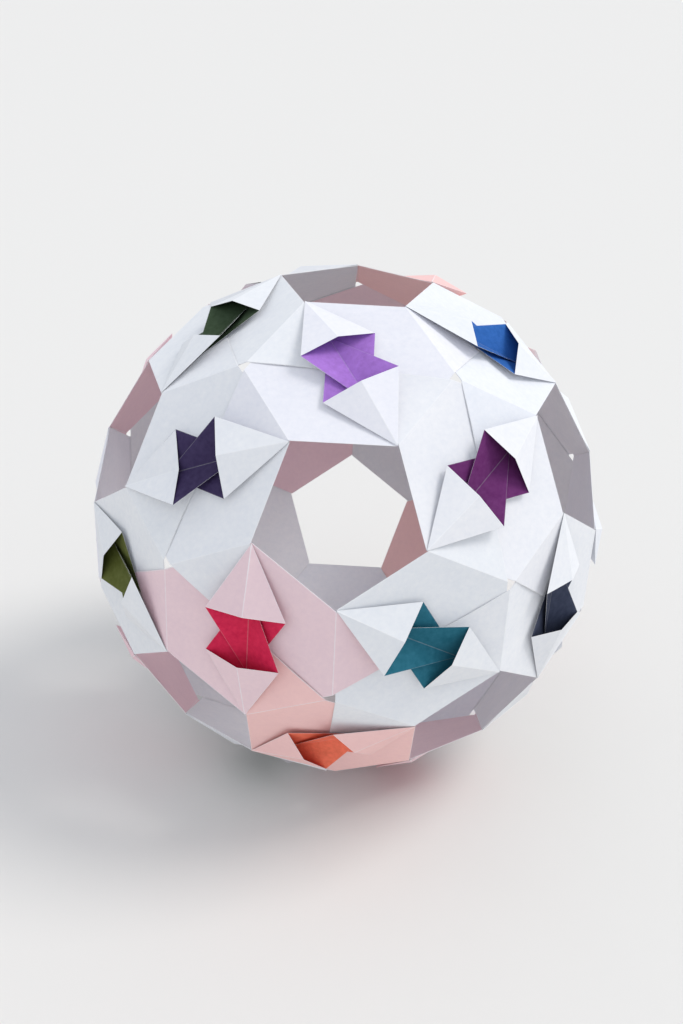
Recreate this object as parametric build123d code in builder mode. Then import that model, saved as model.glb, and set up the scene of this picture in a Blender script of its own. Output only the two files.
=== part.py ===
"""A modular paper ball: thirty square sheets, each folded alike, tucked into one another.

Each sheet lies between two of the ball's twelve open pentagons and makes one six-sided face. Its two
pointed ends are flaps, which slide into the pockets of the next sheets. Its two raised corners are
petals, little tents that stand open over the coloured inside of the paper.
"""
from build123d import *
from itertools import combinations
from math import acos, atan, cos, degrees, radians, sin, sqrt, tan
import os

# ---- driving dimensions, in millimetres and degrees ----
sheet_side = 150.0        # the square sheet before folding
paper_thickness = 0.10
layer_gap = 0.03          # air between two layers pressed together
free_blade_lift = 8.0     # how far the petal's free side stands up from the face
tucked_blade_lift = 21.0  # the petal's other side, which a neighbour's flap holds up

# ---- the paper's layers, counted from the inside of the ball outwards ----
half_thickness = paper_thickness / 2
layer_pitch = paper_thickness + layer_gap
BACK, UNDER_DOOR, OVER_DOOR = 0, 1, 2   # the face's own three layers
FLAP_LIFT = 3                           # a flap has the same three, on top of its host's
FREE_BLADE = OVER_DOOR + FLAP_LIFT + 1
TUCKED_BLADE = FREE_BLADE + 1
under_wall = layer_pitch / 2            # fold beside the axis that carries a tucked blade
over_wall = under_wall + layer_pitch    # fold beside the axis that carries a free blade

# ---- the folded face, lying flat: x runs along its axis, from one petal's point to the other's ----
fold_angle = radians(60)                 # a face's sides stand at this angle to its axis
half_face = sheet_side / (2 * sqrt(3))   # middle of the face to a petal's point
tip = sqrt(3) * half_face                # middle of the face to a flap's tip
petal_ridge = tip - half_face            # petal's point to the middle of its mouth
petal_half_mouth = petal_ridge * tan(fold_angle / 2)
petal_point_gap = 1.0                    # the pinched point of a petal, where its four folds meet
door_inset = paper_thickness + 2 * layer_gap   # a door's cut edge, back from the fold beside it

# ---- the ball that the faces make ----
ring_turn = 72.0                                     # degrees between a pentagon's corners
face_bend = radians(36)                              # between two neighbouring faces
hole_tilt = atan(2 / (1 + sqrt(5)))                  # a face's normal to a pentagon's axis
corner_tilt = acos((1 + sqrt(5)) / (2 * sqrt(3)))    # a face's normal to a three-way corner
pentagon_step = acos(1 / sqrt(5))                    # one pentagon's axis to the next one's
edge_margin = half_thickness + (
    OVER_DOOR * layer_pitch + half_thickness + layer_gap + half_thickness / cos(face_bend)
) / tan(face_bend)                                   # room at a face's sides for a neighbour's layers
hole_side = half_face + edge_margin / sin(fold_angle)
hole_apothem = hole_side / (2 * tan(radians(ring_turn / 2)))
face_radius = (hole_apothem + hole_side * sin(fold_angle) * cos(hole_tilt)) / sin(hole_tilt)


def cross_point(start, along, other_start, other_along):
    """Where two lines in the face's plane cross."""
    gap = other_start - start
    spread = along.X * other_along.Y - along.Y * other_along.X
    return start + along * ((gap.X * other_along.Y - gap.Y * other_along.X) / spread)


def at_layer(point, layer):
    """The same place on another layer of the stack."""
    return Vector(point.X, point.Y, layer * layer_pitch)


def half_turn(panel):
    """The matching panel on the sheet's other half."""
    return [Vector(-p.X, -p.Y, p.Z) for p in panel]


# The crease where a flap leaves the face: from the pentagon's corner towards the three-way corner.
hole_corner = Vector(-hole_side / 2, hole_side * sin(fold_angle))
corner_reach = face_radius * tan(corner_tilt)
three_way = Vector(corner_reach * cos(fold_angle), corner_reach * sin(fold_angle))
crease_along = (three_way - hole_corner).normalized()
crease_out = Vector(-crease_along.Y, crease_along.X)


def crease_at(layer):
    """A point on the crease line of one layer: higher layers bend a little further out."""
    reach = layer_pitch * (layer + FLAP_LIFT - layer * cos(face_bend)) / sin(face_bend)
    return at_layer(hole_corner + crease_out * reach, layer)


def bent(point, layer):
    """A point beyond the crease, swung inwards onto the neighbouring face."""
    origin = crease_at(layer)
    offset = at_layer(point, layer) - origin
    beyond = offset.dot(crease_out)
    return (
        origin + crease_along * offset.dot(crease_along)
        + crease_out * (beyond * cos(face_bend)) + Vector(0, 0, -beyond * sin(face_bend))
    )


# The face's two upper sides: one borders a pentagon, the other closes over the next sheet's flap.
petal_point = Vector(-half_face, 0)
far_point = Vector(half_face, 0)
flap_tip = Vector(0, tip)
hole_edge = (flap_tip - petal_point).normalized()
closed_edge = (flap_tip - far_point).normalized()
free_line = petal_point + Vector(hole_edge.Y, -hole_edge.X) * door_inset   # under door's cut edge
cut_line = far_point + Vector(-closed_edge.Y, closed_edge.X) * door_inset   # over door's cut edge


def on_crease(start, along, layer):
    """Where one side of a layer meets its crease."""
    return at_layer(cross_point(start, along, crease_at(layer), crease_along), layer)


back_hole = on_crease(petal_point, hole_edge, BACK)
back_closed = on_crease(far_point, closed_edge, BACK)
under_hole = on_crease(free_line, hole_edge, UNDER_DOOR)
under_closed = on_crease(far_point, closed_edge, UNDER_DOOR)
over_hole = on_crease(petal_point, hole_edge, OVER_DOOR)
over_closed = on_crease(cut_line, closed_edge, OVER_DOOR)
back_tip = bent(flap_tip, BACK)
under_tip = bent(cross_point(free_line, hole_edge, far_point, closed_edge), UNDER_DOOR)
over_tip = bent(cross_point(petal_point, hole_edge, cut_line, closed_edge), OVER_DOOR)

# The doors stop at the axis, where each turns up into one blade of a petal.
x_axis = Vector(1, 0)
cut_slope = Vector(cos(fold_angle / 2), sin(fold_angle / 2))   # the sheet's own edge across a door's end
blade_end = 2 * petal_ridge - half_face
over_start = cross_point(petal_point, hole_edge, Vector(0, over_wall), x_axis)
over_end = Vector(blade_end, over_wall)
over_corner = cross_point(cut_line, closed_edge, over_end, cut_slope)
under_start = cross_point(far_point, closed_edge, Vector(0, under_wall), x_axis)
under_end = Vector(-blade_end, under_wall)
under_corner = cross_point(free_line, hole_edge, under_end, Vector(-cut_slope.X, cut_slope.Y))

# The petal: two blades rise from the axis, and two tent panels join them over a ridge.
free_lift, tucked_lift = radians(free_blade_lift), radians(tucked_blade_lift)
mouth_x = petal_ridge - half_face
free_start, free_end = at_layer(over_start, FREE_BLADE), at_layer(over_end, FREE_BLADE)
tucked_start, tucked_end = half_turn(
    [at_layer(under_start, TUCKED_BLADE), at_layer(under_end, TUCKED_BLADE)]
)
free_tip = Vector(
    mouth_x,
    free_start.Y + petal_half_mouth * cos(free_lift),
    free_start.Z + petal_half_mouth * sin(free_lift),
)
tucked_tip = Vector(
    mouth_x,
    tucked_start.Y - petal_half_mouth * cos(tucked_lift),
    tucked_start.Z + petal_half_mouth * sin(tucked_lift),
)
ridge_start = (free_start + tucked_start) * 0.5
mouth_middle = (free_tip + tucked_tip) * 0.5
mouth_line = (free_tip - tucked_tip).normalized()
ridge_rise = sqrt(petal_half_mouth**2 - (free_tip - mouth_middle).length**2)
reach = mouth_middle - ridge_start
reach_across = reach - mouth_line * reach.dot(mouth_line)
lean = (petal_ridge**2 - reach.length**2 - ridge_rise**2) / (2 * ridge_rise * reach_across.length)
forward = reach_across.normalized()
upward = forward.cross(mouth_line)
ridge_end = mouth_middle + forward * (ridge_rise * lean) + upward * (ridge_rise * sqrt(1 - lean**2))
free_normal = (free_tip - free_start).cross(ridge_end - free_start)
tucked_normal = (tucked_tip - tucked_start).cross(ridge_end - tucked_start)
ridge_along = free_normal.cross(tucked_normal).normalized()
if ridge_along.X > 0:
    ridge_along = -ridge_along
ridge_foot = ridge_end + ridge_along * (petal_ridge - petal_point_gap)
free_foot = free_start + (free_tip - free_start).normalized() * petal_point_gap
tucked_foot = tucked_start + (tucked_tip - tucked_start).normalized() * petal_point_gap
free_start += x_axis * petal_point_gap
tucked_start += x_axis * petal_point_gap

# Every flat panel of half a sheet, as its corners at the middle of the paper's thickness.
half_sheet = [
    [back_hole, back_tip, back_closed],
    [at_layer(under_start, UNDER_DOOR), under_closed, under_hole]
    + [at_layer(under_corner, UNDER_DOOR), at_layer(under_end, UNDER_DOOR)],
    [under_hole, under_tip, under_closed],
    [at_layer(over_start, OVER_DOOR), over_hole, over_closed]
    + [at_layer(over_corner, OVER_DOOR), at_layer(over_end, OVER_DOOR)],
    [over_hole, over_tip, over_closed],
    # folds that join one layer to the next
    [at_layer(under_start, BACK), back_closed, under_closed, at_layer(under_start, UNDER_DOOR)],
    [back_closed, back_tip, under_tip, under_closed],
    [at_layer(over_start, BACK), back_hole, over_hole, at_layer(over_start, OVER_DOOR)],
    [back_hole, back_tip, over_tip, over_hole],
    [at_layer(free_start, OVER_DOOR), at_layer(over_end, OVER_DOOR), free_end, free_start],
    [at_layer(tucked_start, UNDER_DOOR), at_layer(tucked_end, UNDER_DOOR), tucked_end, tucked_start],
    # the petal
    [free_start, free_end, free_tip, free_foot],
    [free_foot, free_tip, ridge_end, ridge_foot],
    [tucked_foot, tucked_tip, ridge_end, ridge_foot],
    [tucked_start, tucked_end, tucked_tip, tucked_foot],
]
back_face = [at_layer(over_start, BACK), back_hole, back_closed, at_layer(under_start, BACK)]
panels = [back_face + half_turn(back_face)]
for panel in half_sheet:
    panels += [panel, half_turn(panel)]

with BuildPart() as folded_sheet:
    for corners in panels:
        first_side = corners[1] - corners[0]
        plane = Plane(
            origin=corners[0],
            x_dir=first_side,
            z_dir=first_side.cross(corners[2] - corners[0]),
        )
        flat = [plane.to_local_coords(corner) for corner in corners]
        with BuildSketch(plane):
            Polygon(*[(corner.X, corner.Y) for corner in flat], align=None)
        extrude(amount=half_thickness, both=True)

# ---- thirty places: one sheet between each two neighbouring pentagons ----
front = -90.0   # a pentagon of the upper ring faces the front
pentagons = [Vector(0, 0, 1), Vector(0, 0, -1)]
for step in range(5):
    across = Vector(sin(pentagon_step), 0, cos(pentagon_step)).rotate(Axis.Z, front + ring_turn * step)
    pentagons += [across, -across]

rings = {"top": [], "upper": [], "middle": [], "lower": [], "base": []}
heights = {
    "top": cos(hole_tilt), "upper": sin(hole_tilt), "middle": 0.0,
    "lower": -sin(hole_tilt), "base": -cos(hole_tilt),
}
for first, second in combinations(pentagons, 2):
    if round(first.get_angle(second) - degrees(pentagon_step)) != 0:
        continue
    outward = (first + second).normalized()
    over = (first - second).normalized()
    side = over.cross(outward)
    along_axis = side * cos(fold_angle) - over * sin(fold_angle)
    ring = min(rings, key=lambda name: abs(heights[name] - outward.Z))
    around = round(Vector(outward.X, outward.Y).get_signed_angle(Vector(0, -1))) % 360
    place = Plane(origin=outward * face_radius, x_dir=along_axis, z_dir=outward)
    rings[ring].append((around, place))

os.makedirs("parts", exist_ok=True)
for ring, places in rings.items():
    for number, (around, place) in enumerate(sorted(places, key=lambda item: item[0]), start=1):
        with BuildPart() as sheet:
            with Locations(place.location):
                add(folded_sheet.part)
        sheet.part.label = f"{ring}_sheet_{number}"
        export_step(sheet.part, f"parts/{sheet.part.label}.step")

print(f"pentagon side {hole_side:.2f} mm, face {face_radius:.2f} mm from the middle")
print(f"one sheet: {len(folded_sheet.part.solids())} solid, {folded_sheet.part.volume:.0f} mm3")
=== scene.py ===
# %% [markdown]
# A ball of folded paper. Thirty square sheets, white on one face and coloured on the other, are
# folded alike and tucked into one another. This lesson folds one sheet as a thin mesh, lays thirty
# of them round the ball, and gives each its own colour and its own small unevenness.

# %% Load the frame
import math
import random
from itertools import combinations

import bpy
import bmesh
from mathutils import Matrix, Vector


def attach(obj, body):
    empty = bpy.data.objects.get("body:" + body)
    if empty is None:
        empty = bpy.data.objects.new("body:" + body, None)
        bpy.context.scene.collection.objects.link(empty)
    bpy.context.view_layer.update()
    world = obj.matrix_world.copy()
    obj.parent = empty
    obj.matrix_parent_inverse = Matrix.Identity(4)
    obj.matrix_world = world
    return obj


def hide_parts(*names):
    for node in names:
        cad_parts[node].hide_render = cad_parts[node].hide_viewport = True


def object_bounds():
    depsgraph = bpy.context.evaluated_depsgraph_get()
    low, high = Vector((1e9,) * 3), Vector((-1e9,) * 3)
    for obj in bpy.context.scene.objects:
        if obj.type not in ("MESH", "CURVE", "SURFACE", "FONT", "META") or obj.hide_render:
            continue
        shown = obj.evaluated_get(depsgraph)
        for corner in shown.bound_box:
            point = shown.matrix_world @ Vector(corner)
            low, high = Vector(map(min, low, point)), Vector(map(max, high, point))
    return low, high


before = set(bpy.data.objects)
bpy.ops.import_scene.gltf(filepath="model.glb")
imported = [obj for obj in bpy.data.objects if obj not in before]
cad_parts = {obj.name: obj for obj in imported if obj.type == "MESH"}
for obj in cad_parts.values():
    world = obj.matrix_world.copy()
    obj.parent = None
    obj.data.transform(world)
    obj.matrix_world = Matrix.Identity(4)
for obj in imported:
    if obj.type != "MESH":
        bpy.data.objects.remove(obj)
cad_low, cad_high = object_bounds()
MM = 0.001
print("sheets in the frame:", len(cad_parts))

# %% [markdown]
# Every size of the folded sheet follows from the square it starts as. Folded flat it is a rhombus
# with corners of 60 and 120 degrees, so its half width is the square's side over 2 root 3. The
# ball's sizes follow from it: twelve open pentagons face the way an icosahedron's corners do.

# %% Sizes of the sheet and the ball
SHEET_SIDE = 150.0 * MM
PAPER = 0.06 * MM
LAYER_GAP = 0.04 * MM
LAYER_PITCH = PAPER + LAYER_GAP
FACE_ANGLE = math.radians(60)           # the rhombus's sides to its petals' axis
FACE_BEND = math.radians(36)            # one face to the next
HALF_FACE = SHEET_SIDE / (2 * math.sqrt(3))
TIP = math.sqrt(3) * HALF_FACE          # middle of the face to a flap's tip
RIDGE = TIP - HALF_FACE                 # length of a petal's ridge
HALF_MOUTH = RIDGE * math.tan(FACE_ANGLE / 2)
BLADE_END = 2 * RIDGE - HALF_FACE
BACK, UNDER_DOOR, OVER_DOOR = 0, 1, 2   # the face's layers, from the inside of the ball outwards
FLAP_LIFT = OVER_DOOR + 1               # a neighbour's flap has the same three, on top of these
FREE_BLADE = OVER_DOOR + FLAP_LIFT + 1
TUCKED_BLADE = FREE_BLADE + 1
UNDER_WALL = LAYER_PITCH / 2            # folds beside the axis, where a door turns up into a blade
OVER_WALL = UNDER_WALL + LAYER_PITCH
DOOR_INSET = 2 * PAPER
PENTAGON_TURN = math.radians(72)
HOLE_TILT = math.atan(2 / (1 + math.sqrt(5)))
CORNER_TILT = math.acos((1 + math.sqrt(5)) / (2 * math.sqrt(3)))
PENTAGON_STEP = math.acos(1 / math.sqrt(5))
STACK = 2 * LAYER_PITCH + PAPER / 2 + LAYER_GAP
EDGE_MARGIN = PAPER / 2 + (STACK + PAPER / 2 / math.cos(FACE_BEND)) / math.tan(FACE_BEND)
HOLE_SIDE = HALF_FACE + EDGE_MARGIN / math.sin(FACE_ANGLE)
FACE_RADIUS = (
    HOLE_SIDE / (2 * math.tan(PENTAGON_TURN / 2))
    + HOLE_SIDE * math.sin(FACE_ANGLE) * math.cos(HOLE_TILT)
) / math.sin(HOLE_TILT)
print(f"pentagon side {HOLE_SIDE / MM:.1f} mm, face {FACE_RADIUS / MM:.1f} mm from the middle")

# %% [markdown]
# The folding itself is plain geometry: a layer is a height, a crease is a line, and a flap is a
# part of the face swung about its crease. These helpers say each of those in one place.

# %% Folding helpers


def cross_point(start, along, other_start, other_along):
    """Where two lines in the face's plane cross."""
    gap = other_start - start
    spread = along.x * other_along.y - along.y * other_along.x
    return start + along * ((gap.x * other_along.y - gap.y * other_along.x) / spread)


def at_layer(point, layer):
    """The same place on another layer of the stack."""
    return Vector((point.x, point.y, layer * LAYER_PITCH))


def flat(x, y):
    """A point of the face's plane."""
    return Vector((x, y, 0))


def half_turn(points):
    """The matching points on the sheet's other half."""
    return [Vector((-p.x, -p.y, p.z)) for p in points]


hole_corner = flat(-HOLE_SIDE / 2, HOLE_SIDE * math.sin(FACE_ANGLE))
to_three_way = flat(math.cos(FACE_ANGLE), math.sin(FACE_ANGLE))
three_way = to_three_way * (FACE_RADIUS * math.tan(CORNER_TILT))
crease_along = (three_way - hole_corner).normalized()
crease_out = flat(-crease_along.y, crease_along.x)


def crease_at(layer):
    """A point on the crease of one layer of a flap."""
    reach = LAYER_PITCH * (layer + FLAP_LIFT - layer * math.cos(FACE_BEND)) / math.sin(FACE_BEND)
    return at_layer(hole_corner + crease_out * reach, layer)


def bent(point, layer):
    """A point beyond the crease, swung inwards onto the neighbouring face."""
    origin = crease_at(layer)
    offset = at_layer(point, layer) - origin
    beyond = offset.dot(crease_out)
    return (
        origin + crease_along * offset.dot(crease_along)
        + crease_out * (beyond * math.cos(FACE_BEND)) - Vector((0, 0, beyond * math.sin(FACE_BEND)))
    )


def on_crease(start, along, layer):
    """Where one side of a layer meets its crease."""
    return at_layer(cross_point(start, along, crease_at(layer), crease_along), layer)


petal_point, far_point, flap_tip = flat(-HALF_FACE, 0), flat(HALF_FACE, 0), flat(0, TIP)
hole_edge = (flap_tip - petal_point).normalized()
closed_edge = (flap_tip - far_point).normalized()
free_line = petal_point + flat(hole_edge.y, -hole_edge.x) * DOOR_INSET
cut_line = far_point + flat(-closed_edge.y, closed_edge.x) * DOOR_INSET
x_axis = flat(1, 0)
cut_slope = flat(math.cos(FACE_ANGLE / 2), math.sin(FACE_ANGLE / 2))
over_start = cross_point(petal_point, hole_edge, flat(0, OVER_WALL), x_axis)
over_end = flat(BLADE_END, OVER_WALL)
under_start = cross_point(far_point, closed_edge, flat(0, UNDER_WALL), x_axis)
under_end = flat(-BLADE_END, UNDER_WALL)
print(f"a flap's crease starts {hole_corner.length / MM:.1f} mm from the middle of the face")

# %% [markdown]
# A petal is a corner of the sheet left standing. Two blades rise from the axis, and two tent panels
# lean together over them. All four keep their flat size, so once the blades' lifts are chosen the
# ridge can stand in only two places, outwards or popped in. No two petals of a real ball are alike.

# %% One petal
FREE_LIFT = 8                     # degrees that a petal's free side stands up from the face
TUCKED_LIFT = 21                  # and its tucked side
POPPED_RIDGE_HEIGHT = 1.8 * MM    # raises a popped-in ridge clear of the blades under it


def petal(free_lift, tucked_lift, popped_in):
    """The corners of a petal: both blades' feet and tips, and the end of the ridge."""
    free_start, free_end = at_layer(over_start, FREE_BLADE), at_layer(over_end, FREE_BLADE)
    tucked_start, tucked_end = half_turn(
        [at_layer(under_start, TUCKED_BLADE), at_layer(under_end, TUCKED_BLADE)]
    )
    mouth_x = RIDGE - HALF_FACE
    free_side = Vector((0, math.cos(free_lift), math.sin(free_lift)))
    free_tip = Vector((mouth_x, free_start.y, free_start.z)) + free_side * HALF_MOUTH
    tucked_side = Vector((0, -math.cos(tucked_lift), math.sin(tucked_lift)))
    tucked_tip = Vector((mouth_x, tucked_start.y, tucked_start.z)) + tucked_side * HALF_MOUTH
    foot = (free_start + tucked_start) / 2
    middle = (free_tip + tucked_tip) / 2
    mouth_line = (free_tip - tucked_tip).normalized()
    rise = math.sqrt(HALF_MOUTH**2 - (free_tip - middle).length**2)
    reach = middle - foot
    forward = reach - mouth_line * reach.dot(mouth_line)
    lean = (RIDGE**2 - reach.length**2 - rise**2) / (2 * rise * forward.length)
    forward.normalize()
    upward = forward.cross(mouth_line) * (-1 if popped_in else 1)
    ridge_end = middle + forward * (rise * lean) + upward * (rise * math.sqrt(1 - lean**2))
    if popped_in:
        ridge_end.z += POPPED_RIDGE_HEIGHT
    return free_start, free_end, free_tip, tucked_start, tucked_end, tucked_tip, ridge_end


# %% [markdown]
# Half a sheet is a list of flat panels, each as its corners. Neighbouring panels name the same
# corner points, so they join into one skin. The other half is such a list turned half way round.

# %% Panels of half a sheet


def half_sheet(free_lift, tucked_lift, popped_in):
    """Every panel of half a sheet, with its petal opened as told."""
    back_hole = on_crease(petal_point, hole_edge, BACK)
    back_closed = on_crease(far_point, closed_edge, BACK)
    under_hole = on_crease(free_line, hole_edge, UNDER_DOOR)
    under_closed = on_crease(far_point, closed_edge, UNDER_DOOR)
    over_hole = on_crease(petal_point, hole_edge, OVER_DOOR)
    over_closed = on_crease(cut_line, closed_edge, OVER_DOOR)
    back_tip = bent(flap_tip, BACK)
    under_tip = bent(cross_point(free_line, hole_edge, far_point, closed_edge), UNDER_DOOR)
    over_tip = bent(cross_point(petal_point, hole_edge, cut_line, closed_edge), OVER_DOOR)
    over_corner = at_layer(cross_point(cut_line, closed_edge, over_end, cut_slope), OVER_DOOR)
    under_slope = flat(-cut_slope.x, cut_slope.y)
    under_corner = at_layer(cross_point(free_line, hole_edge, under_end, under_slope), UNDER_DOOR)
    over_foot, over_heel = at_layer(over_start, OVER_DOOR), at_layer(over_end, OVER_DOOR)
    under_foot, under_heel = at_layer(under_start, UNDER_DOOR), at_layer(under_end, UNDER_DOOR)
    turned_foot, turned_heel = half_turn([under_foot, under_heel])
    free_start, free_end, free_tip, tucked_start, tucked_end, tucked_tip, ridge_end = petal(
        free_lift, tucked_lift, popped_in
    )
    return [
        # the flap's back, then the under door and the over door, each with its part of the flap
        [back_hole, back_tip, back_closed],
        [under_foot, under_closed, under_hole, under_corner, under_heel],
        [under_hole, under_tip, under_closed],
        [over_foot, over_hole, over_closed, over_corner, over_heel],
        [over_hole, over_tip, over_closed],
        # the folds that join one layer to the next
        [at_layer(under_start, BACK), back_closed, under_closed, under_foot],
        [back_closed, back_tip, under_tip, under_closed],
        [at_layer(over_start, BACK), back_hole, over_hole, over_foot],
        [back_hole, back_tip, over_tip, over_hole],
        [over_foot, over_heel, free_end, free_start],
        [turned_foot, turned_heel, tucked_end, tucked_start],
        # the petal
        [free_start, free_end, free_tip],
        [free_start, free_tip, ridge_end],
        [free_start, ridge_end, tucked_start],
        [tucked_start, ridge_end, tucked_tip],
        [tucked_start, tucked_tip, tucked_end],
    ]


def sheet_panels(first_petal, second_petal):
    """Every panel of a sheet, the back face first."""
    back_half = [
        at_layer(over_start, BACK),
        on_crease(petal_point, hole_edge, BACK),
        on_crease(far_point, closed_edge, BACK),
        at_layer(under_start, BACK),
    ]
    second_half = [half_turn(panel) for panel in half_sheet(*second_petal)]
    return [back_half + half_turn(back_half)] + half_sheet(*first_petal) + second_half


plain_petal = (math.radians(FREE_LIFT), math.radians(TUCKED_LIFT), False)
print("panels in a sheet:", len(sheet_panels(plain_petal, plain_petal)))

# %% [markdown]
# A small class lets the paper's pattern be written as sums. It wraps a socket, and each operator
# adds one Math node. Any other node comes from one function, which sets its settings and inputs.

# %% Shader arithmetic


class Value:
    """A socket that can be added, subtracted and multiplied."""

    def __init__(self, tree, socket):
        self.tree, self.socket = tree, socket

    def _math(self, operation, first, second):
        return node(self.tree, "ShaderNodeMath", {"operation": operation}, {0: first, 1: second})

    def __add__(self, other):
        return self._math("ADD", self, other)

    def __radd__(self, other):
        return self._math("ADD", other, self)

    def __sub__(self, other):
        return self._math("SUBTRACT", self, other)

    def __rsub__(self, other):
        return self._math("SUBTRACT", other, self)

    def __mul__(self, other):
        return self._math("MULTIPLY", self, other)

    def __rmul__(self, other):
        return self._math("MULTIPLY", other, self)


def node(tree, kind, settings=None, inputs=None, output=0):
    """Add a node, set it up, feed its sockets and return one output as a Value."""
    made = tree.nodes.new(kind)
    for name, value in (settings or {}).items():
        setattr(made, name, value)
    for name, value in (inputs or {}).items():
        if isinstance(value, Value):
            tree.links.new(value.socket, made.inputs[name])
        else:
            made.inputs[name].default_value = value
    return Value(tree, made.outputs[output]) if made.outputs else None


# %% [markdown]
# Folding paper is an uncoated sheet dyed on one face. Its fibres lie unevenly, which shows as a
# faint cloudiness a few millimetres across, and the surface has a fine tooth. The white face lets a
# little of the dye show through. Folds and cut edges lose their dye first, and they catch the light
# as thin bright lines. An attribute that is 1 on a fold whitens them, partly as real wear and
# partly as a painted highlight. Noise in Object coordinates makes the clouds and the tooth.

# %% Paper material
CLOUDS_PER_METRE, PATCHES_PER_METRE, FIBRES_PER_METRE = 420.0, 60.0, 2600.0
CLOUD_CONTRAST, PATCH_CONTRAST = 1.4, 0.8
TOOTH_HEIGHT = 0.1 * MM
MIX_COLOURS = {"data_type": "RGBA", "clamp_factor": True}


def linear(red, green, blue):
    """An on-screen colour as the linear one that Blender works in."""
    def one(c):
        return c / 12.92 if c <= 0.04045 else ((c + 0.055) / 1.055) ** 2.4
    return (one(red), one(green), one(blue), 1.0)


def blended(first, second, share):
    """A colour part of the way from one to another."""
    return tuple(a + (b - a) * share for a, b in zip(first, second))


WHITE = linear(0.95, 0.95, 0.955)
SHADED_WHITE = linear(0.88, 0.89, 0.915)
BLACK = (0.0, 0.0, 0.0, 1.0)


def paper(name, light, dark, fold_wear_and_highlight):
    """One face of the paper: a cloudy mix of two near colours, paler along folds, partly as wear
    and partly as a painted highlight.
    """
    material = bpy.data.materials.new(name)
    material.use_nodes = True
    tree = material.node_tree
    tree.nodes.clear()
    place = node(tree, "ShaderNodeTexCoord", output="Object")

    def noise(scale, detail):
        inputs = {"Vector": place, "Scale": scale, "Detail": detail, "Roughness": 0.6}
        return node(tree, "ShaderNodeTexNoise", None, inputs)

    def mixed(share, first, second):
        inputs = {"Factor": share, "A": first, "B": second}
        return node(tree, "ShaderNodeMix", MIX_COLOURS, inputs, output=2)

    cloud, patch = noise(CLOUDS_PER_METRE, 4.0), noise(PATCHES_PER_METRE, 2.0)
    fibre = noise(FIBRES_PER_METRE, 2.0)
    wear_and_highlight = node(tree, "ShaderNodeAttribute", {"attribute_name": "wear_and_highlight"}, output="Fac")
    shade = (cloud - 0.5) * CLOUD_CONTRAST + (patch - 0.5) * PATCH_CONTRAST + 0.5
    # the fold band whitens the colour: partly real wear, partly a painted highlight along folds and
    # cut edges
    colour = mixed(wear_and_highlight * (cloud + 0.3) * fold_wear_and_highlight, mixed(shade, dark, light), WHITE)
    tooth = cloud * 0.4 + fibre * 0.6
    bump_inputs = {"Strength": 0.25, "Distance": TOOTH_HEIGHT, "Height": tooth}
    surface = node(tree, "ShaderNodeBsdfPrincipled", None, {
        "Base Color": colour,
        "Roughness": 0.75 + 0.15 * cloud,
        "Normal": node(tree, "ShaderNodeBump", None, bump_inputs),
        "Specular IOR Level": 0.3,
    })
    node(tree, "ShaderNodeOutputMaterial", None, {"Surface": surface})
    return material


# %% [markdown]
# Each dye is its colour and the share of it that shows on the white face. The coral, rose and
# crimson sheets show the most, and the green, indigo and navy ones the least.

# %% Twelve papers
DYES = {
    "lilac": (linear(0.70, 0.48, 0.86), 0.05),
    "blue": (linear(0.08, 0.40, 0.74), 0.05),
    "green": (linear(0.16, 0.26, 0.13), 0.03),
    "plum": (linear(0.42, 0.09, 0.42), 0.04),
    "indigo": (linear(0.20, 0.13, 0.33), 0.03),
    "teal": (linear(0.03, 0.43, 0.52), 0.04),
    "crimson": (linear(0.90, 0.03, 0.30), 0.26),
    "navy": (linear(0.15, 0.19, 0.30), 0.03),
    "olive": (linear(0.35, 0.38, 0.08), 0.04),
    "coral": (linear(1.00, 0.47, 0.34), 0.40),
    "rose": (linear(0.96, 0.42, 0.52), 0.33),
    "grey": (linear(0.44, 0.43, 0.46), 0.16),
}
CLOUDY_WHITE = blended(WHITE, SHADED_WHITE, 0.7)
# how far the fold band whitens each face, partly as wear and partly as a painted highlight
WHITE_FACE_WEAR_AND_HIGHLIGHT, DYED_FACE_WEAR_AND_HIGHLIGHT = 0.8, 0.2
white_faces, dyed_faces = {}, {}
for dye, (colour, tint) in DYES.items():
    light, dark = blended(WHITE, colour, tint), blended(CLOUDY_WHITE, colour, tint)
    white_faces[dye] = paper(f"white_face_{dye}", light, dark, WHITE_FACE_WEAR_AND_HIGHLIGHT)
    light, dark = blended(colour, WHITE, 0.03), blended(colour, BLACK, 0.3)
    dyed_faces[dye] = paper(f"dyed_face_{dye}", light, dark, DYED_FACE_WEAR_AND_HIGHLIGHT)
cut_edge = paper("cut_edge", WHITE, WHITE, 0.0)
print("papers:", len(DYES))

# %% [markdown]
# Handled paper is never quite flat. A node tree divides each panel finely and then moves every
# point in or out from the middle of the ball by a slow noise. All sheets share one noise, so layers
# that press together stay together, and faces and folds bow slightly the way real ones do.

# %% The paper's slow unevenness


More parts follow.
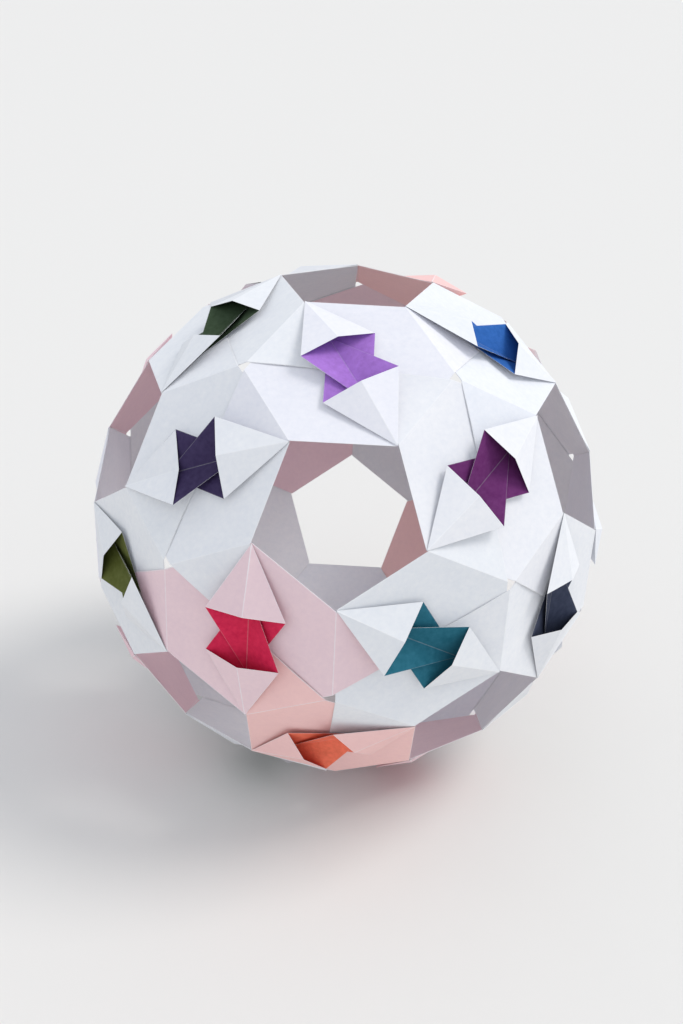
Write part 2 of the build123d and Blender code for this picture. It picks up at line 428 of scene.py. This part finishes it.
def uneven_paper():
    """A Geometry Nodes tree that divides the panels and bows them in and out."""
    tree = bpy.data.node_groups.new("uneven_paper", "GeometryNodeTree")
    interface = tree.interface
    interface.new_socket("Geometry", in_out="INPUT", socket_type="NodeSocketGeometry")
    for name, kind, start in (
        ("Divisions", "NodeSocketInt", 2),
        ("Bow", "NodeSocketFloat", 0.7 * MM),
        ("Waves per metre", "NodeSocketFloat", 16.0),
        ("Face", "NodeSocketMaterial", None),
    ):
        socket = interface.new_socket(name, in_out="INPUT", socket_type=kind)
        if start is not None:
            socket.default_value = start
    interface.new_socket("Geometry", in_out="OUTPUT", socket_type="NodeSocketGeometry")
    given = tree.nodes.new("NodeGroupInput")

    def wire(name):
        return Value(tree, given.outputs[name])

    def add(kind, inputs=None, **settings):
        return node(tree, kind, settings, inputs)

    triangles = add("GeometryNodeTriangulate", {"Mesh": wire("Geometry")})
    fine = add("GeometryNodeSubdivideMesh", {"Mesh": triangles, "Level": wire("Divisions")})
    place = add("GeometryNodeInputPosition")
    outward = add("ShaderNodeVectorMath", {0: place}, operation="NORMALIZE")
    wave_inputs = {"Vector": place, "Scale": wire("Waves per metre"), "Detail": 1.0}
    bow = (add("ShaderNodeTexNoise", wave_inputs) - 0.5) * wire("Bow")
    shift = add("ShaderNodeVectorMath", {0: outward, "Scale": bow}, operation="SCALE")
    bowed = add("GeometryNodeSetPosition", {"Geometry": fine, "Offset": shift})
    real = add("GeometryNodeRealizeInstances", {"Geometry": bowed})
    faced = add("GeometryNodeSetMaterial", {"Geometry": real, "Material": wire("Face")})
    add("NodeGroupOutput", {"Geometry": faced})
    return tree


bow_tree = uneven_paper()
bow_inputs = {
    item.name: item.identifier for item in bow_tree.interface.items_tree if item.in_out == "INPUT"
}
print("inputs of the node tree:", ", ".join(bow_inputs))

# %% [markdown]
# A flap that lies on the next sheet bows up a little between its fold and its tip, and so its edge
# casts the thin dark line that tells one sheet from the next.

# %% Bow the flaps
FLAP_LENGTH = (flap_tip - hole_corner).dot(crease_out)


def bow_flaps(mesh, place, height):
    """Raise both flaps of a sheet along their own slope, most at half their length."""
    back = place.inverted()
    for vertex in mesh.vertices:
        point = back @ vertex.co
        side = 1 if point.dot(crease_out) > 0 else -1
        offset = flat(side * point.x, side * point.y) - hole_corner
        across = offset.dot(crease_out)
        share = (across * math.cos(FACE_BEND) - point.z * math.sin(FACE_BEND)) / FLAP_LENGTH
        if across > 0 and 0 < share < 1:
            rise = height * 4 * share * (1 - share)
            lift = crease_out * (side * math.sin(FACE_BEND)) + Vector((0, 0, math.cos(FACE_BEND)))
            vertex.co = place @ (point + lift * rise)


print(f"a flap reaches {FLAP_LENGTH / MM:.1f} mm past its crease")

# %% [markdown]
# Three functions make a sheet. The first joins the panels into a skin, checks which face is the
# coloured one and marks a narrow band round all but the smallest panels, to be whitened partly as
# wear and partly as a painted highlight. The last runs the unevenness, bows the flaps and gives the
# skin its thickness: Solidify puts the dye on one face, the white on the other and the cut edge
# round the rim. The second keeps each modifier's result.

# %% Make one sheet
WELD = 0.0005 * MM
# width of the fold band, whose whitening is partly wear and partly a painted highlight
WORN_AND_HIGHLIGHT_BAND = 0.3 * MM
# small panels get no band of wear and painted highlight
SMALL_PANEL = 20 * MM * MM        # a panel below this area gets no worn band
SHARP_FOLD = math.radians(12)


def folded_skin(panels, place):
    """The sheet's middle surface, with the coloured side facing out of the ball at the back."""
    skin = bmesh.new()
    for panel in panels:
        skin.faces.new([skin.verts.new(corner) for corner in panel])
    bmesh.ops.remove_doubles(skin, verts=skin.verts, dist=WELD)
    # 1 on each panel's border and 0 inside: this marks the band of wear and painted highlight
    wear_and_highlight = skin.verts.layers.float.new("wear_and_highlight")
    for corner in skin.verts:
        corner[wear_and_highlight] = 1.0
    bmesh.ops.recalc_face_normals(skin, faces=skin.faces)
    back = max(skin.faces, key=lambda face: face.calc_area())
    if back.normal.z < 0:
        bmesh.ops.reverse_faces(skin, faces=skin.faces)
    wide = [face for face in skin.faces if face.calc_area() > SMALL_PANEL]
    corners = set(skin.verts)
    bmesh.ops.inset_individual(skin, faces=wide, thickness=WORN_AND_HIGHLIGHT_BAND, use_even_offset=True)
    for inner in set(skin.verts) - corners:
        inner[wear_and_highlight] = 0.0
    skin.transform(place)
    mesh = bpy.data.meshes.new("skin")
    skin.to_mesh(mesh)
    skin.free()
    return mesh


def worked(piece):
    """The piece's mesh with its modifiers worked out, and the modifiers taken off."""
    evaluated = piece.evaluated_get(bpy.context.evaluated_depsgraph_get())
    mesh = bpy.data.meshes.new_from_object(evaluated)
    old = piece.data
    piece.modifiers.clear()
    piece.data = mesh
    mesh.name = piece.name
    bpy.data.meshes.remove(old)
    return mesh


def fold_sheet(name, place, dye, petals, flap_bow):
    """One folded sheet, in its place on the ball."""
    piece = bpy.data.objects.new(name, folded_skin(sheet_panels(*petals), place))
    bpy.context.scene.collection.objects.link(piece)
    uneven = piece.modifiers.new("uneven", "NODES")
    uneven.node_group = bow_tree
    uneven[bow_inputs["Face"]] = dyed_faces[dye]
    mesh = worked(piece)
    bow_flaps(mesh, place, flap_bow)
    mesh.materials.clear()
    for material in (dyed_faces[dye], white_faces[dye], cut_edge):
        mesh.materials.append(material)
    thick = piece.modifiers.new("thickness", "SOLIDIFY")
    thick.thickness = PAPER
    thick.offset = 0
    thick.material_offset = 1
    thick.material_offset_rim = 2
    mesh = worked(piece)
    mesh.polygons.foreach_set("use_smooth", [True] * len(mesh.polygons))
    mesh.set_sharp_from_angle(angle=SHARP_FOLD)
    return piece


# %% [markdown]
# A sheet lies between each two neighbouring pentagons, thirty in all. The frame already names them
# by ring and by their order round the ball, so the same rule finds each one's place here.

# %% Thirty places
FRONT = math.radians(-90)         # a pentagon of the upper ring faces this way round the ball
SAME_ANGLE = 0.02                 # radians
pentagons = [Vector((0, 0, 1)), Vector((0, 0, -1))]
for step in range(5):
    turn = Matrix.Rotation(FRONT + PENTAGON_TURN * step, 3, "Z")
    across = turn @ Vector((math.sin(PENTAGON_STEP), 0, math.cos(PENTAGON_STEP)))
    pentagons += [across, -across]
heights = {
    "top": math.cos(HOLE_TILT), "upper": math.sin(HOLE_TILT), "middle": 0.0,
    "lower": -math.sin(HOLE_TILT), "base": -math.cos(HOLE_TILT),
}
rings = {ring: [] for ring in heights}
for first, second in combinations(pentagons, 2):
    if abs(first.angle(second) - PENTAGON_STEP) > SAME_ANGLE:
        continue
    outward = (first + second).normalized()
    over = (first - second).normalized()
    side = over.cross(outward)
    along = side * math.cos(FACE_ANGLE) - over * math.sin(FACE_ANGLE)
    ring = min(heights, key=lambda name: abs(heights[name] - outward.z))
    around = round(math.degrees(math.atan2(outward.x, -outward.y))) % 360
    place = Matrix((along, outward.cross(along), outward)).transposed().to_4x4()
    place.translation = outward * FACE_RADIUS
    rings[ring].append((around, place))
print("places:", {ring: len(places) for ring, places in rings.items()})

# %% [markdown]
# The colours are listed ring by ring: the five sheets round the front pentagon are
# lilac, indigo, crimson, teal and plum. Each petal is opened by chance within a few degrees, from a
# fixed seed, and one petal of that indigo sheet is popped in.

# %% Fold all thirty
COLOURS = {
    "top": "lilac blue coral grey green",
    "upper": "plum teal crimson rose indigo",
    "middle": "teal navy blue olive grey rose navy lilac olive crimson",
    "lower": "coral green coral plum rose",
    "base": "crimson lilac blue indigo green",
}
POPPED_IN = {("upper_sheet_5", 1)}
FLAP_BOW_LEAST, FLAP_BOW_MOST = 0.3, 0.6   # millimetres
hand = random.Random(30)


def opened_petal(name, end):
    """How far one petal stands open, a little different each time."""
    free_lift = math.radians(FREE_LIFT + hand.uniform(-2.0, 3.0))
    tucked_lift = math.radians(TUCKED_LIFT + hand.uniform(-3.0, 2.0))
    return free_lift, tucked_lift, (name, end) in POPPED_IN


for ring, places in rings.items():
    ordered = [place for around, place in sorted(places, key=lambda item: item[0])]
    for number, (place, dye) in enumerate(zip(ordered, COLOURS[ring].split()), start=1):
        name = f"{ring}_sheet_{number}"
        petals = [opened_petal(name, end) for end in (0, 1)]
        flap_bow = hand.uniform(FLAP_BOW_LEAST, FLAP_BOW_MOST) * MM
        piece = fold_sheet(f"paper_{name}", place, dye, petals, flap_bow)
        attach(piece, "root")
        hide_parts(name)
print("sheets folded:", sum(len(places) for places in rings.values()))

# %% [markdown]
# The ball stands on a plain pale floor. To the camera, the far background is one even pale tone,
# and the floor is an ordinary surface that bounces light up into the ball.

# %% Floor
FLOOR_REACH = 12.0
floor_mesh = bpy.data.meshes.new("floor")
floor_corners = [
    (x * FLOOR_REACH, y * FLOOR_REACH, cad_low.z) for x, y in ((-1, -1), (1, -1), (1, 1), (-1, 1))
]
floor_mesh.from_pydata(floor_corners, [], [(0, 1, 2, 3)])
floor = bpy.data.objects.new("floor", floor_mesh)
bpy.context.scene.collection.objects.link(floor)
floor_material = bpy.data.materials.new("floor")
floor_material.use_nodes = True
floor_shader = floor_material.node_tree.nodes["Principled BSDF"]
floor_shader.inputs["Base Color"].default_value = linear(0.89, 0.88, 0.865)
floor_shader.inputs["Roughness"].default_value = 0.8
floor_mesh.materials.append(floor_material)
print(f"floor {cad_low.z / MM:.1f} mm below the middle of the ball")

# %% [markdown]
# Soft light: a broad sun from the upper right and an even sky. The difference between the two is
# what lets each flat face of white paper read as a plane of its own. Light Path shows the camera,
# glossy and transmitted rays a plain pale backdrop in place of the sky that lights the ball.

# %% Light
SKY_STRENGTH, SUN_STRENGTH, SUN_WIDTH = 0.88, 1.35, math.radians(25)
SUN_TRAVEL = Vector((-0.75, -0.1, -1.0))
world = bpy.data.worlds.new("studio")
bpy.context.scene.world = world
world.use_nodes = True
sky = world.node_tree
sky.nodes.clear()
seen, mirrored, passed = (
    node(sky, "ShaderNodeLightPath", output=f"Is {ray} Ray")
    for ray in ("Camera", "Glossy", "Transmission")
)
shown = seen
for ray in (mirrored, passed):
    shown = node(sky, "ShaderNodeMath", {"operation": "MAXIMUM"}, {0: shown, 1: ray})
sky_inputs = {"Color": (0.88, 0.93, 1.0, 1.0), "Strength": SKY_STRENGTH}
backdrop_inputs = {"Color": linear(0.86, 0.86, 0.865), "Strength": 1.0}
light_of_sky = node(sky, "ShaderNodeBackground", None, sky_inputs)
backdrop = node(sky, "ShaderNodeBackground", None, backdrop_inputs)
mixed_sky = node(sky, "ShaderNodeMixShader", None, {0: shown, 1: light_of_sky, 2: backdrop})
node(sky, "ShaderNodeOutputWorld", None, {"Surface": mixed_sky})

sun = bpy.data.lights.new("sun", "SUN")
sun.energy, sun.angle, sun.color = SUN_STRENGTH, SUN_WIDTH, (1.0, 0.97, 0.93)
sun_place = bpy.data.objects.new("sun", sun)
sun_place.rotation_euler = SUN_TRAVEL.to_track_quat("-Z", "Y").to_euler()
bpy.context.scene.collection.objects.link(sun_place)
print("sun strength:", round(sun.energy, 2))

# %% [markdown]
# The camera stands a little above the ball and looks down into its front pentagon.

# %% Camera
CAMERA_PLACE = Vector((0.0092, -0.5248, 0.2663))
RIGHT = Vector((0.99826, 0.04201, 0.04145))
FORWARD = Vector((-0.01898, 0.89351, -0.44865))
SENSOR, FOCAL_LENGTH = 36.0, 40.359375   # millimetres
lens = bpy.data.cameras.new("camera")
lens.sensor_fit = "AUTO"
lens.sensor_width = SENSOR
lens.lens = FOCAL_LENGTH
camera = bpy.data.objects.new("camera", lens)
camera_turn = Matrix((RIGHT, RIGHT.cross(FORWARD), -FORWARD)).transposed().to_4x4()
camera.matrix_world = Matrix.Translation(CAMERA_PLACE) @ camera_turn
bpy.context.scene.collection.objects.link(camera)
bpy.context.scene.camera = camera
bpy.context.scene.view_settings.view_transform = "Standard"
print(f"lens {lens.lens:.1f} mm")
